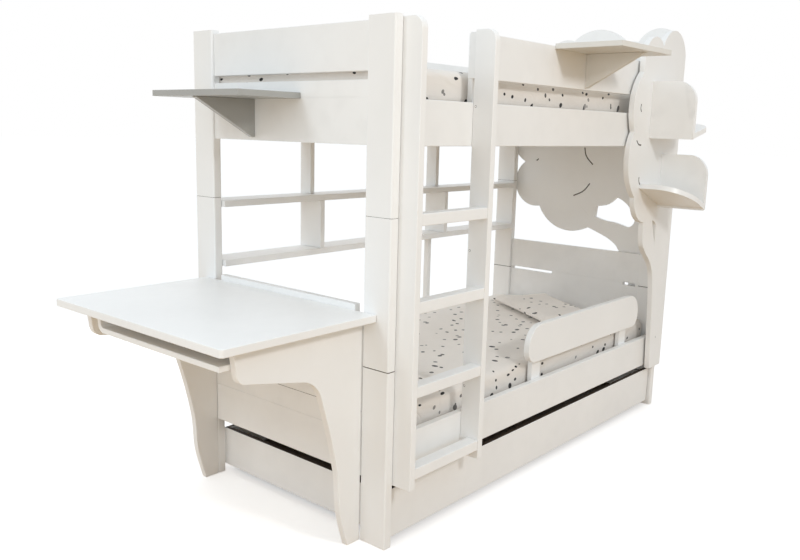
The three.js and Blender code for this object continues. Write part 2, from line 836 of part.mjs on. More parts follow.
// Shelves behind the lower bed, with uprights that pass through notches in their back edges.
// The right upright stands on the lower rail, and the left one ends under the low shelf.
function addBackShelves() {
  const y = [bedWidth - backShelfDepth, bedWidth];
  const first = postWidth + backUprightFromEnd;
  const lefts = [first, first + backUprightSpacing];
  const notchY = [bedWidth - backUprightFootDepth - clearance, bedWidth + 1];
  for (const [stage, bottom] of [['low', backShelfLow], ['high', backShelfHigh]]) {
    const z = [bottom, bottom + backShelfThickness];
    const notchZ = [bottom - 1, bottom + backShelfThickness + 1];
    const notches = lefts.map((left) => block(
      [left - clearance, left + backUprightThickness + clearance],
      notchY,
      notchZ,
    ));
    const shelf = cut(block([innerLeft, innerRight], y, z), notches);
    addPiece(`back_${stage}_shelf`, shelf, whiteLacquer());
  }
  const shelfTop = backShelfLow + backShelfThickness;
  const upperEnd = upperRailBottom - clearance;
  const upright = (left, foot) => {
    const x = [left, left + backUprightThickness];
    const between = [shelfTop + clearance, backShelfHigh - clearance];
    const above = [backShelfHigh + backShelfThickness + clearance, upperEnd];
    return join([
      block(x, [bedWidth - backUprightFootDepth, bedWidth], [foot, upperEnd]),
      block(x, y, between),
      block(x, [bedWidth - backUprightHighDepth, bedWidth], above),
    ]);
  };
  const railTop = lowerRailBottom + lowerRailHeight + clearance;
  addPiece('back_left_upright', upright(lefts[0], backShelfLow), whiteLacquer());
  addPiece('back_right_upright', upright(lefts[1], railTop), whiteLacquer());
}

addPosts();
addRails();
addUpperGuards();
addUpperEnds();
addLowerEnds();
addLowGuard();
addSlattedBase('upper_slatted_base', upperSlatTop);
addSlattedBase('lower_slatted_base', lowerSlatTop);
addMattress('upper_mattress', upperSlatTop);
addMattress('lower_mattress', lowerSlatTop);
addPillow();
addLadder();
addDesk();
addDrawer();
addTree();
addHangingShelves();
addBackShelves();

// The origin is the middle of the whole object on the floor
const model = new THREE.Group();
model.name = 'bunk_bed_with_desk';
bed.updateMatrixWorld(true);
const bounds = new THREE.Box3().setFromObject(bed, true);
bed.position.set(-(bounds.min.x + bounds.max.x) / 2, -(bounds.min.y + bounds.max.y) / 2, 0);
model.add(bed);

export default model;
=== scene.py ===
import json
import math

import bmesh
import bpy
from mathutils import Matrix, Vector, noise


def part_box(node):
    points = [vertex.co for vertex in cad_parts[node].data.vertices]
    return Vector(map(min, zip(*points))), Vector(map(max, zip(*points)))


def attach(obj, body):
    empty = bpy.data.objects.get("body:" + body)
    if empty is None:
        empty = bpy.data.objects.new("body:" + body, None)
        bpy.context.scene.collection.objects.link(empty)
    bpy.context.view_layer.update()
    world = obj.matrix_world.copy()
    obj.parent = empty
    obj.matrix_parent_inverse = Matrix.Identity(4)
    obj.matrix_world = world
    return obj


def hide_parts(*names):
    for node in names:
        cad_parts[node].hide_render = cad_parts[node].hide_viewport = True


bl_info = {
    "name": "Bunk bed with desk",
    "version": (1, 0, 0),
    "blender": (4, 5, 0),
    "location": "3D View > Sidebar > Bunk Bed",
    "description": "Lacquered boards, spotted bedding and a stage around the bunk bed's frame",
    "category": "Object",
}

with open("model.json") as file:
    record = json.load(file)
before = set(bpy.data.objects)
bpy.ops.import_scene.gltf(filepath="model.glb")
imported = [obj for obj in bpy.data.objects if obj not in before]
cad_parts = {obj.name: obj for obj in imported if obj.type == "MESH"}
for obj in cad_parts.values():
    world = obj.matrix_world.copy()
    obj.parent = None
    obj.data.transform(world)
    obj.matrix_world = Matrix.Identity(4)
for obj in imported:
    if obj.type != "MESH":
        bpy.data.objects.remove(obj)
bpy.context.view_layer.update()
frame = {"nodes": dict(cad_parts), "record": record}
NODES = frame["nodes"]
BODIES = frame["record"]["behaviour"]["bodies"]
BODY_OF = {node: body for body, nodes in BODIES.items() for node in nodes}
SLOT_OF = {part["node"]: part["material_slot"] for part in frame["record"]["subparts"]}

# The photograph's camera, in the frame's own axes
CAMERA_PLACE = (-2.60683, -2.00313, 1.36903)
CAMERA_HEADING = math.radians(40.654)
CAMERA_PITCH = math.radians(-10.545)
CAMERA_ROLL = math.radians(1.446)
PHOTO_WIDTH = 800
FOCAL_PIXELS = 816.3
SENSOR_WIDTH = 36.0
CAMERA_REACH = 200

POSTS = [
    f"{side}_post_{length}"
    for side in ("front_left", "front_right", "back_left", "back_right")
    for length in ("lower", "upper")
]
RAILS_AND_GUARDS = [
    "upper_front_rail",
    "upper_back_rail",
    "lower_front_rail",
    "lower_back_rail",
    "upper_front_guard",
    "upper_back_guard",
    "guard_batten",
    "low_guard",
]
ENDS = [
    "upper_left_end_board",
    "upper_left_guard",
    "upper_right_end_board",
    "upper_right_guard",
    "lower_left_end_rail",
    "lower_left_end_panel",
    "lower_right_end_rail",
    "lower_right_end_panel",
]
SLATTED_BASES = ["upper_slatted_base", "lower_slatted_base"]
LADDER = ["ladder_left_stile", "ladder_right_stile"] + [f"ladder_rung_{n}" for n in (1, 2, 3, 4)]
DESK = ["desk_top", "desk_front_side", "desk_back_side", "desk_tray"]
DRAWER_WALLS = ["drawer_front", "drawer_left_side", "drawer_right_side", "drawer_back"]
WHEELS = [
    f"drawer_wheel_{place}" for place in ("front_left", "front_right", "back_left", "back_right")
]
TREE_SHELVES = ["tree_high_shelf", "tree_low_shelf"]
HANGING_SHELVES = ["cream_shelf", "cream_shelf_bracket", "grey_shelf", "grey_shelf_bracket"]
BACK_SHELVES = ["back_low_shelf", "back_high_shelf", "back_left_upright", "back_right_upright"]


def linear(red, green, blue):
    """A colour written as a screen shows it, in the scene's own linear values."""
    return tuple(
        value / 12.92 if value <= 0.04045 else ((value + 0.055) / 1.055) ** 2.4
        for value in (red, green, blue)
    )


class LacquerSettings(bpy.types.PropertyGroup):
    white: bpy.props.FloatVectorProperty(
        name="White",
        description="Colour of the bed, the desk, the drawer and the tree",
        subtype="COLOR",
        size=3,
        min=0,
        max=1,
        default=linear(0.95, 0.948, 0.94),
    )
    grey: bpy.props.FloatVectorProperty(
        name="Grey",
        description="Colour of the shelf on the left end",
        subtype="COLOR",
        size=3,
        min=0,
        max=1,
        default=linear(0.66, 0.66, 0.645),
    )
    cream: bpy.props.FloatVectorProperty(
        name="Cream",
        description="Colour of the shelf on the front guard",
        subtype="COLOR",
        size=3,
        min=0,
        max=1,
        default=linear(0.87, 0.858, 0.83),
    )
    roughness: bpy.props.FloatProperty(
        name="Roughness",
        description="Roughness of the satin lacquer",
        subtype="FACTOR",
        min=0,
        max=1,
        default=0.38,
    )
    edge: bpy.props.FloatProperty(
        name="Edge radius",
        description="Radius that every sawn edge is rounded to",
        unit="LENGTH",
        min=0.0005,
        max=0.006,
        default=0.0025,
    )


class BeddingSettings(bpy.types.PropertyGroup):
    ground: bpy.props.FloatVectorProperty(
        name="Sheet",
        description="Ground colour of the cotton sheets",
        subtype="COLOR",
        size=3,
        min=0,
        max=1,
        default=linear(0.93, 0.905, 0.875),
    )
    ink: bpy.props.FloatVectorProperty(
        name="Spots",
        description="Colour of the printed spots",
        subtype="COLOR",
        size=3,
        min=0,
        max=1,
        default=linear(0.03, 0.03, 0.035),
    )
    spacing: bpy.props.FloatProperty(
        name="Spot spacing",
        description="Mean distance between the spots of each of the two layers",
        unit="LENGTH",
        min=0.03,
        max=0.3,
        default=0.102,
    )
    spot: bpy.props.FloatProperty(
        name="Spot length",
        description="Length of one oval spot",
        unit="LENGTH",
        min=0.005,
        max=0.05,
        default=0.0245,
    )
    crease: bpy.props.FloatProperty(
        name="Crease height",
        description="Height of the soft creases in the sheets",
        unit="LENGTH",
        min=0,
        max=0.01,
        default=0.0022,
    )


class StageSettings(bpy.types.PropertyGroup):
    floor: bpy.props.FloatVectorProperty(
        name="Floor",
        description="Colour of the plain floor as the camera sees it",
        subtype="COLOR",
        size=3,
        min=0,
        max=1,
        default=linear(0.93, 0.92, 0.91),
    )
    glow: bpy.props.FloatProperty(
        name="Floor glow",
        description="Light that the floor adds to its own colour, so that it stays pale far off",
        min=0,
        max=1,
        default=0.4,
    )
    bounce: bpy.props.FloatVectorProperty(
        name="Bounce",
        description="Colour of the light that the floor throws back",
        subtype="COLOR",
        size=3,
        min=0,
        max=1,
        default=linear(0.74, 0.61, 0.43),
    )
    ambient: bpy.props.FloatProperty(
        name="Ambient light",
        description="Strength of the even light from all round",
        min=0,
        max=2,
        default=0.8,
    )
    front_power: bpy.props.FloatProperty(
        name="Front light",
        description="Power of the small light in front, which throws the shelves' shadows",
        unit="POWER",
        min=0,
        max=500,
        default=49,
    )
    left_power: bpy.props.FloatProperty(
        name="Left light",
        description="Power of the high light beyond the desk",
        unit="POWER",
        min=0,
        max=500,
        default=31,
    )
    low_power: bpy.props.FloatProperty(
        name="Low light",
        description="Power of the wide low light beyond the desk, which fills the left faces",
        unit="POWER",
        min=0,
        max=500,
        default=14,
    )
    inner_power: bpy.props.FloatProperty(
        name="Inner light",
        description="Power of the wide light at the front left corner, which reaches into the beds",
        unit="POWER",
        min=0,
        max=500,
        default=30,
    )
    wall_power: bpy.props.FloatProperty(
        name="Wall light",
        description="Power of the wide light behind the bed, in the place of a pale wall",
        unit="POWER",
        min=0,
        max=500,
        default=25,
    )


class Graph:
    """Adds and joins the nodes of one material or node group."""

    def __init__(self, tree):
        self.tree = tree
        tree.nodes.clear()

    def add(self, kind, inputs=None, **settings):
        node = self.tree.nodes.new(kind)
        for name, value in settings.items():
            setattr(node, name, value)
        for name, value in (inputs or {}).items():
            self.set(node.inputs[name], value)
        return node

    def set(self, socket, value):
        if isinstance(value, bpy.types.NodeSocket):
            self.tree.links.new(value, socket)
        else:
            socket.default_value = value

    def math(self, operation, *values):
        return self.add(
            "ShaderNodeMath", dict(enumerate(values)), operation=operation
        ).outputs[0]

    def vector(self, operation, *values):
        return self.add(
            "ShaderNodeVectorMath", dict(enumerate(values)), operation=operation
        )

    def scale(self, vector, factor):
        return self.add(
            "ShaderNodeVectorMath", {0: vector, "Scale": factor}, operation="SCALE"
        ).outputs[0]

    def grain(self, vector, scale, detail, **more):
        inputs = {"Vector": vector, "Scale": scale, "Detail": detail, **more}
        return self.add("ShaderNodeTexNoise", inputs).outputs["Fac"]

    def bump(self, height, strength, distance, **more):
        inputs = {"Height": height, "Strength": strength, "Distance": distance, **more}
        return self.add("ShaderNodeBump", inputs).outputs[0]

    def ramp(self, value, low, high, out_low=0.0, out_high=1.0):
        inputs = {0: value, 1: low, 2: high, 3: out_low, 4: out_high}
        return self.add("ShaderNodeMapRange", inputs, clamp=True).outputs[0]

    def blend(self, factor, first, second, kind="MIX"):
        node = self.add("ShaderNodeMix", data_type="RGBA", blend_type=kind)
        for index, value in ((0, factor), (6, first), (7, second)):
            self.set(node.inputs[index], value)
        return node.outputs[2]


def node_group(name, inputs, outputs):
    """An empty shader node group with these sockets, and its graph."""
    group = bpy.data.node_groups.new(name, "ShaderNodeTree")
    graph = Graph(group)
    kinds = {"float": "NodeSocketFloat", "color": "NodeSocketColor", "vector": "NodeSocketVector"}
    for label, kind, value in inputs:
        socket = group.interface.new_socket(label, in_out="INPUT", socket_type=kinds[kind])
        if value is not None:
            socket.default_value = value
    for label, kind in outputs:
        group.interface.new_socket(label, in_out="OUTPUT", socket_type=kinds[kind])
    return group, graph, graph.add("NodeGroupInput"), graph.add("NodeGroupOutput")


def lacquer_group():
    """Sprayed lacquer: faint clouds, thin edges, fine orange peel and handling marks, with painted
    shade in its hollows.
    """
    name = "Lacquer"
    if name in bpy.data.node_groups:
        return bpy.data.node_groups[name]
    group, graph, source, result = node_group(
        name,
        [
            ("Colour", "color", (1, 1, 1, 1)),
            ("Edge colour", "color", (0.7, 0.68, 0.63, 1)),
            ("Roughness", "float", 0.4),
            ("Clouds", "float", 0.03),
            ("Edge wear", "float", 0.35),
        ],
        [("Colour", "color"), ("Roughness", "float"), ("Normal", "vector")],
    )
    place = graph.add("ShaderNodeTexCoord").outputs["Object"]
    shade = graph.ramp(graph.grain(place, 2.2, 4.0), 0.3, 0.7, -1.0, 1.0)
    lift = graph.math("MULTIPLY_ADD", shade, source.outputs["Clouds"], 1.0)
    toned = graph.scale(source.outputs["Colour"], lift)
    curvature = graph.add("ShaderNodeNewGeometry").outputs["Pointiness"]
    ridge = graph.ramp(curvature, 0.53, 0.62)
    patches = graph.ramp(graph.grain(place, 14.0, 6.0), 0.45, 0.7)
    worn = graph.math("MULTIPLY", ridge, patches)
    amount = graph.math("MULTIPLY", worn, source.outputs["Edge wear"])
    colour = graph.blend(amount, toned, source.outputs["Edge colour"])
    # Painted shade: concave corners are darkened towards the worn edges' colour
    painted_hollow_shade = graph.ramp(curvature, 0.47, 0.38, 0.0, 0.22)
    colour = graph.blend(painted_hollow_shade, colour, source.outputs["Edge colour"], "MULTIPLY")
    rub = graph.ramp(graph.grain(place, 38.0, 5.0), 0.35, 0.75, -0.05, 0.08)
    roughness = graph.math("ADD", source.outputs["Roughness"], rub)
    peel = graph.grain(place, 420.0, 2.0)
    height = graph.math("MULTIPLY_ADD", graph.grain(place, 26.0, 2.0), 4.0, peel)
    graph.set(result.inputs["Colour"], colour)
    graph.set(result.inputs["Roughness"], roughness)
    graph.set(result.inputs["Normal"], graph.bump(height, 0.12, 0.00012))
    return group


def spots_group():
    """One layer of scattered oval spots on a flat coordinate, as a mask and a chance per spot."""
    name = "Oval spots"
    if name in bpy.data.node_groups:
        return bpy.data.node_groups[name]
    group, graph, source, result = node_group(
        name,
        [
            ("Vector", "vector", None),
            ("Spacing", "float", 0.1),
            ("Length", "float", 0.02),
            ("Kept", "float", 0.85),
        ],
        [("Mask", "float"), ("Chance", "float")],
    )
    share = graph.math("DIVIDE", 1.0, source.outputs["Spacing"])
    spread = graph.scale(source.outputs["Vector"], share)
    cells = graph.add(
        "ShaderNodeTexVoronoi",
        {"Vector": spread, "Scale": 1.0, "Randomness": 1.0},
        voronoi_dimensions="2D",
    )
    chance = graph.add("ShaderNodeSeparateColor", {0: cells.outputs["Color"]})
    offset = graph.vector("SUBTRACT", spread, cells.outputs["Position"])
    turned = graph.add(
        "ShaderNodeVectorRotate",
        {
            "Vector": offset.outputs[0],
            "Angle": graph.math("MULTIPLY", chance.outputs[0], 2 * math.pi),
        },
        rotation_type="Z_AXIS",
    )
    half = graph.math("MULTIPLY", source.outputs["Length"], 0.5)
    varied = graph.math("MULTIPLY", half, graph.ramp(chance.outputs[1], 0, 1, 0.6, 1.12))
    reach = graph.math("DIVIDE", source.outputs["Spacing"], varied)
    sized = graph.scale(turned.outputs[0], reach)
    oval = graph.vector("MULTIPLY", sized, (1.0, 1.3, 0.0))
    distance = graph.vector("LENGTH", oval.outputs[0]).outputs["Value"]
    mask = graph.ramp(distance, 0.93, 1.06, 1.0, 0.0)
    kept = graph.math("LESS_THAN", chance.outputs[2], source.outputs["Kept"])
    graph.set(result.inputs["Mask"], graph.math("MULTIPLY", mask, kept))
    graph.set(result.inputs["Chance"], chance.outputs[1])
    return group


def weave_group():
    """A plain weave on a flat coordinate: the height of its threads and their shade."""
    name = "Plain weave"
    if name in bpy.data.node_groups:
        return bpy.data.node_groups[name]
    group, graph, source, result = node_group(
        name,
        [("Vector", "vector", None), ("Thread", "float", 0.0006)],
        [("Height", "float"), ("Shade", "float")],
    )
    apart = graph.add("ShaderNodeSeparateXYZ", {0: source.outputs["Vector"]})
    turns = graph.math("DIVIDE", 2 * math.pi, source.outputs["Thread"])
    across = graph.math("SINE", graph.math("MULTIPLY", apart.outputs[0], turns))
    along = graph.math("SINE", graph.math("MULTIPLY", apart.outputs[1], turns))
    crossing = graph.math("MULTIPLY", across, along)
    slubs = graph.grain(source.outputs["Vector"], 700.0, 2.0)
    height = graph.math("MULTIPLY_ADD", slubs, 0.8, crossing)
    graph.set(result.inputs["Height"], height)
    graph.set(result.inputs["Shade"], graph.ramp(height, -1.0, 1.8, 0.97, 1.0))
    return group


def rgba(colour):
    return (*colour, 1.0)


def shaded(colour, share):
    return tuple(value * share for value in colour)


def new_material(name):
    material = bpy.data.materials.new(name)
    material.use_nodes = True
    return material, Graph(material.node_tree)


def set_surface(graph, inputs):
    """Ends a material's graph in a principled surface with these inputs."""
    surface = graph.add("ShaderNodeBsdfPrincipled", inputs)
    graph.add("ShaderNodeOutputMaterial", {"Surface": surface.outputs[0]})


def lacquer_material(name, colour, settings):
    material, graph = new_material(name)
    lacquer = graph.add(
        "ShaderNodeGroup",
        {
            "Colour": rgba(colour),
            "Edge colour": rgba(shaded(colour, 0.72)),
            "Roughness": settings.roughness,
        },
        node_tree=lacquer_group(),
    )
    set_surface(
        graph,
        {
            "Base Color": lacquer.outputs["Colour"],
            "Roughness": lacquer.outputs["Roughness"],
            "Normal": lacquer.outputs["Normal"],
            "IOR": 1.48,
            "Coat Weight": 0.12,
            "Coat Roughness": 0.22,
        },
    )
    return material


def sheet_material(name, settings):
    """White cotton with two layers of printed spots, a weave and soft folds."""
    material, graph = new_material(name)
    flat = graph.add("ShaderNodeUVMap", uv_map="cloth").outputs[0]
    place = graph.add("ShaderNodeTexCoord").outputs["Object"]
    weave = graph.add("ShaderNodeGroup", {"Vector": flat}, node_tree=weave_group())
    shifted = graph.vector("ADD", flat, (3.17, 1.43, 0.0))
    layers = []
    for vector, length in ((flat, settings.spot), (shifted.outputs[0], settings.spot * 0.8)):
        inputs = {"Vector": vector, "Spacing": settings.spacing, "Length": length}
        layers.append(graph.add("ShaderNodeGroup", inputs, node_tree=spots_group()))
    mask = graph.math("MAXIMUM", layers[0].outputs["Mask"], layers[1].outputs["Mask"])
    faint = graph.ramp(layers[1].outputs["Chance"], 0.0, 0.2, 0.6, 1.0)
    print_strength = graph.math("MULTIPLY", mask, faint)
    tone = graph.ramp(graph.grain(place, 5.0, 4.0), 0.3, 0.7, 0.96, 1.02)
    ground = graph.scale(settings.ground, graph.math("MULTIPLY", tone, weave.outputs["Shade"]))
    drawn = graph.vector("MULTIPLY", place, (1.0, 2.2, 1.6))
    folds = graph.grain(drawn.outputs[0], 4.5, 3.0, Distortion=1.4)
    ridges = graph.math("ABSOLUTE", graph.math("SUBTRACT", folds, 0.5))
    wrinkled = graph.bump(ridges, 0.5, 0.02)
    set_surface(
        graph,
        {
            "Base Color": graph.blend(print_strength, ground, rgba(settings.ink)),
            "Roughness": 0.88,
            "Normal": graph.bump(weave.outputs["Height"], 0.25, 0.0001, Normal=wrinkled),
            "Sheen Weight": 0.25,
            "Sheen Roughness": 0.5,
        },
    )
    return material


def plastic_material(name):
    """Matt moulded plastic with a little dust."""
    material, graph = new_material(name)
    place = graph.add("ShaderNodeTexCoord").outputs["Object"]
    pores = graph.grain(place, 1500.0, 3.0)
    dusty = graph.ramp(graph.grain(place, 90.0, 5.0), 0.5, 0.75, 0.0, 0.25)
    dark = rgba(linear(0.17, 0.17, 0.18))
    pale = rgba(linear(0.42, 0.41, 0.4))
    set_surface(
        graph,
        {
            "Base Color": graph.blend(dusty, dark, pale),
            "Roughness": graph.ramp(pores, 0.3, 0.7, 0.45, 0.62),
            "Normal": graph.bump(pores, 0.3, 0.0001),
        },
    )
    return material


def gap_shade_hardboard_material(name):
    """Dark hardboard with short fibres in its colour; its darkness is painted shade in the gap over
    the drawer.
    """
    material, graph = new_material(name)
    place = graph.add("ShaderNodeTexCoord").outputs["Object"]
    fibres = graph.grain(place, 320.0, 6.0)
    tone = graph.math("MULTIPLY_ADD", fibres, 0.7, graph.grain(place, 6.0, 3.0))
    dark = rgba(linear(0.2, 0.16, 0.13))
    pale = rgba(linear(0.3, 0.25, 0.2))
    set_surface(
        graph,
        {
            "Base Color": graph.blend(graph.ramp(tone, 0.6, 1.1), dark, pale),
            "Roughness": graph.ramp(fibres, 0.3, 0.7, 0.5, 0.7),
            "Normal": graph.bump(fibres, 0.2, 0.0001),
        },
    )
    return material


def steel_material(name):
    """Dark screw steel with fine marks."""
    material, graph = new_material(name)
    marks = graph.grain(graph.add("ShaderNodeTexCoord").outputs["Object"], 800.0, 4.0)
    dark = rgba(linear(0.1, 0.095, 0.09))
    pale = rgba(linear(0.2, 0.19, 0.18))
    set_surface(
        graph,
        {
            "Base Color": graph.blend(marks, dark, pale),
            "Metallic": 1.0,
            "Roughness": graph.ramp(marks, 0.3, 0.7, 0.3, 0.5),
        },
    )
    return material


# Painted shade for the insides of seams, joints and grooves
GROOVE_SHADE_COLOUR = linear(0.36, 0.33, 0.29)


def material_for(slot, scene):
    """The finish for a slot of the record or of this script, made when it is first asked for."""
    name = f"{slot}_finish"
    if name in bpy.data.materials:
        return bpy.data.materials[name]
    lacquer = scene.lacquer
    lacquers = {
        "white_lacquer": lacquer.white,
        "grey_lacquer": lacquer.grey,
        "cream_lacquer": lacquer.cream,
        "groove_shade": GROOVE_SHADE_COLOUR,
    }
    if slot in lacquers:
        return lacquer_material(name, lacquers[slot], lacquer)
    if slot == "sheet_fabric":
        return sheet_material(name, scene.bedding)
    others = {
        "wheel_plastic": plastic_material,
        "screw_steel": steel_material,
        "smoked_hardboard": gap_shade_hardboard_material,
    }
    return others[slot](name)


def add_object(name, mesh, slot):
    piece = bpy.data.objects.new(name, mesh)
    bpy.context.scene.collection.objects.link(piece)
    mesh.materials.clear()
    mesh.materials.append(material_for(slot, bpy.context.scene))
    return piece


def stand_for(piece, *nodes):
    """Seats a piece on the body of the frame nodes that it stands for, and hides those nodes."""
    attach(piece, BODY_OF[nodes[0]])
    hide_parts(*nodes)


# Board meshes: the distance within which corners are one, the bend below which faces are one
# flat face, the bend from which an edge is sawn, how many radii wide its faces are at least,
# and the bend from which shading breaks
WELD = 1e-5
FLAT_ANGLE = math.radians(0.2)
SAWN_ANGLE = math.radians(28)
FACE_RADII = 2.4
SHARP_ANGLE = math.radians(38)


def merged_copy(node):
    """The node's mesh as a bmesh of whole flat faces."""
    shape = bmesh.new()
    shape.from_mesh(NODES[node].data)
    bmesh.ops.remove_doubles(shape, verts=shape.verts[:], dist=WELD)
    bmesh.ops.dissolve_limit(
        shape,
        angle_limit=FLAT_ANGLE,
        use_dissolve_boundaries=False,
        verts=shape.verts[:],
        edges=shape.edges[:],
    )
    return shape


def sawn_edges(shape, radius):
    """The sharp edges whose two faces are wide enough to be rounded to the radius."""
    found = []
    for edge in shape.edges:
        if not edge.is_manifold or edge.calc_face_angle() < SAWN_ANGLE:
            continue
        least = FACE_RADII * radius * edge.calc_length()
        if all(face.calc_area() > least for face in edge.link_faces):
            found.append(edge)
    return found


def round_edges(shape, edges, radius, segments):
    bmesh.ops.bevel(
        shape,
        geom=edges,
        offset=radius,
        offset_type="OFFSET",
        affect="EDGES",
        segments=segments,
        profile=0.5,
        clamp_overlap=True,
        material=-1,
    )


def finish_mesh(shape, name):
    for face in shape.faces:
        face.smooth = True
    mesh = bpy.data.meshes.new(name)
    shape.to_mesh(mesh)
    shape.free()
    return mesh


def weigh_normals(piece):
    weighted = piece.modifiers.new("Flat faces", "WEIGHTED_NORMAL")
    weighted.keep_sharp = True
    weighted.weight = 100
    piece.data.set_sharp_from_angle(angle=SHARP_ANGLE)


def dressed_board(node, radius):
    """A copy of a sawn board with its edges rounded over and lacquered, which stands for it."""
    shape = merged_copy(node)
    round_edges(shape, sawn_edges(shape, radius), radius, 3)
    piece = add_object(f"{node}_board", finish_mesh(shape, node), SLOT_OF[node])
    weigh_normals(piece)
    stand_for(piece, node)
    return piece


def shade_faces(piece, slot, chosen):
    """Gives the faces for which chosen(face, points) holds a finish of their own."""
    mesh = piece.data
    mesh.materials.append(material_for(slot, bpy.context.scene))
    index = len(mesh.materials) - 1
    for face in mesh.polygons:
        if chosen(face, [mesh.vertices[vertex].co for vertex in face.vertices]):
            face.material_index = index


def shade_band(piece, low, high):
    """Paints shade on the faces that lie wholly between two heights, as falls in a joint."""
    shade_faces(
        piece, "groove_shade", lambda face, points: all(low <= point.z <= high for point in points)
    )


def dress_boards(scene, nodes, share=1.0):
    """Dresses boards, with this share of the edge radius that the settings hold."""
    for node in nodes:
        dressed_board(node, scene.lacquer.edge * share)


def cut_groove(piece, points, width):
    """Cuts a narrow curved groove through the points into a piece, with painted shade on its walls.
    """
    path = bpy.data.curves.new("groove", "CURVE")
    path.dimensions = "3D"
    path.bevel_depth = width / 2
    path.bevel_resolution = 3
    path.use_fill_caps = True
    path.resolution_u = 8
    spline = path.splines.new("BEZIER")
    spline.bezier_points.add(len(points) - 1)
    for knot, point in zip(spline.bezier_points, points):
        knot.co = Vector(point)
        knot.handle_left_type = "AUTO"
        knot.handle_right_type = "AUTO"
    tool = bpy.data.objects.new("groove_tool", path)
    bpy.context.scene.collection.objects.link(tool)
    bpy.context.view_layer.update()
    evaluated = tool.evaluated_get(bpy.context.evaluated_depsgraph_get())
    mesh = bpy.data.meshes.new_from_object(evaluated)
    bpy.data.objects.remove(tool)
    cutter = add_object("groove_cutter", mesh, "groove_shade")
    cutting = piece.modifiers.new("Groove", "BOOLEAN")
    cutting.operation = "DIFFERENCE"
    cutting.solver = "EXACT"
    cutting.material_mode = "TRANSFER"
    cutting.object = cutter
    apply_modifiers(piece)
    bpy.data.objects.remove(cutter)


def apply_modifiers(piece):
    bpy.context.view_layer.update()
    evaluated = piece.evaluated_get(bpy.context.evaluated_depsgraph_get())
    mesh = bpy.data.meshes.new_from_object(evaluated)
    piece.modifiers.clear()
    piece.data = mesh


# Joints: the heights of the posts' middle seam and of the left end panel's, their width, and
# the slack within which a face still lies in a joint
POST_SEAM = 1.095
PANEL_SEAM = 0.452
GROOVE_WIDTH = 0.0016
SEAM_SLACK = 0.0001
# Shares of the edge radius, for the posts, for thin boards and for the hanging shelves
POST_SHARE = 0.9
THIN_SHARE = 0.8
SHELF_SHARE = 0.5


class BUNKBED_OT_posts(bpy.types.Operator):
    """Round over and lacquer the four posts"""

    bl_idname = "bunkbed.posts"
    bl_label = "Posts"

    def execute(self, context):
        dress_boards(context.scene, POSTS, POST_SHARE)
        # Painted shade in the seams between the posts' lengths and in their middle groove
        rounding = context.scene.lacquer.edge * POST_SHARE + SEAM_SLACK
        for node in POSTS:
            low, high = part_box(node)
            piece = bpy.data.objects[f"{node}_board"]
            if node.endswith("lower"):
                shade_band(piece, high.z - rounding, high.z + SEAM_SLACK)
            else:
                shade_band(piece, low.z - SEAM_SLACK, low.z + rounding)
                shade_band(piece, POST_SEAM - SEAM_SLACK, POST_SEAM + GROOVE_WIDTH)
        return {"FINISHED"}


class BUNKBED_OT_rails(bpy.types.Operator):
    """Round over and lacquer the rails and the long guards"""

    bl_idname = "bunkbed.rails"
    bl_label = "Rails and guards"

    def execute(self, context):
        dress_boards(context.scene, RAILS_AND_GUARDS)
        return {"FINISHED"}


class BUNKBED_OT_ends(bpy.types.Operator):
    """Round over and lacquer the boards of both ends"""

    bl_idname = "bunkbed.ends"
    bl_label = "Ends"

    def execute(self, context):
        dress_boards(context.scene, ENDS)
        panel = bpy.data.objects["lower_left_end_panel_board"]
        # Painted shade in the panel's groove
        shade_band(panel, PANEL_SEAM - SEAM_SLACK, PANEL_SEAM + GROOVE_WIDTH)
        return {"FINISHED"}


class BUNKBED_OT_slats(bpy.types.Operator):
    """Round over and lacquer the slatted bases under both mattresses"""

    bl_idname = "bunkbed.slats"
    bl_label = "Slatted bases"

    def execute(self, context):
        dress_boards(context.scene, SLATTED_BASES, THIN_SHARE)
        return {"FINISHED"}


def turned_shape(profile, steps):
    """A bmesh turned around Z from the radii and heights of its profile."""
    shape = bmesh.new()
    knots = [shape.verts.new((radius, 0, height)) for radius, height in profile]
    line = [shape.edges.new(pair) for pair in zip(knots, knots[1:])]
    bmesh.ops.spin(
        shape,
        geom=knots + line,
        cent=(0, 0, 0),
        axis=(0, 0, 1),
        angle=2 * math.pi,
        steps=steps,
        use_merge=True,
    )
    bmesh.ops.remove_doubles(shape, verts=shape.verts[:], dist=1e-6)
    bmesh.ops.recalc_face_normals(shape, faces=shape.faces[:])
    return shape


# Ladder screws: their heights, the way from the stile's back edge, and the head's radius
SCREW_HEIGHTS = (0.474, 0.960, 1.446)
SCREW_FROM_BACK = 0.010
SCREW_RADIUS = 0.0044


def screw_head(name, centre, outward):
    """A countersunk screw head with a deep socket, flush in a face of the bed."""
    profile = [
        (0.0, -0.0022),
        (SCREW_RADIUS * 0.5, -0.0022),
        (SCREW_RADIUS * 0.54, -0.0001),
        (SCREW_RADIUS * 0.9, 0.0001),
        (SCREW_RADIUS, -0.0002),
        (SCREW_RADIUS, -0.001),
    ]
    shape = turned_shape(profile, 24)
    turn = outward.to_track_quat("Z", "Y").to_matrix().to_4x4()
    bmesh.ops.transform(shape, matrix=Matrix.Translation(centre) @ turn, verts=shape.verts[:])
    piece = add_object(name, finish_mesh(shape, name), "screw_steel")
    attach(piece, "bed")


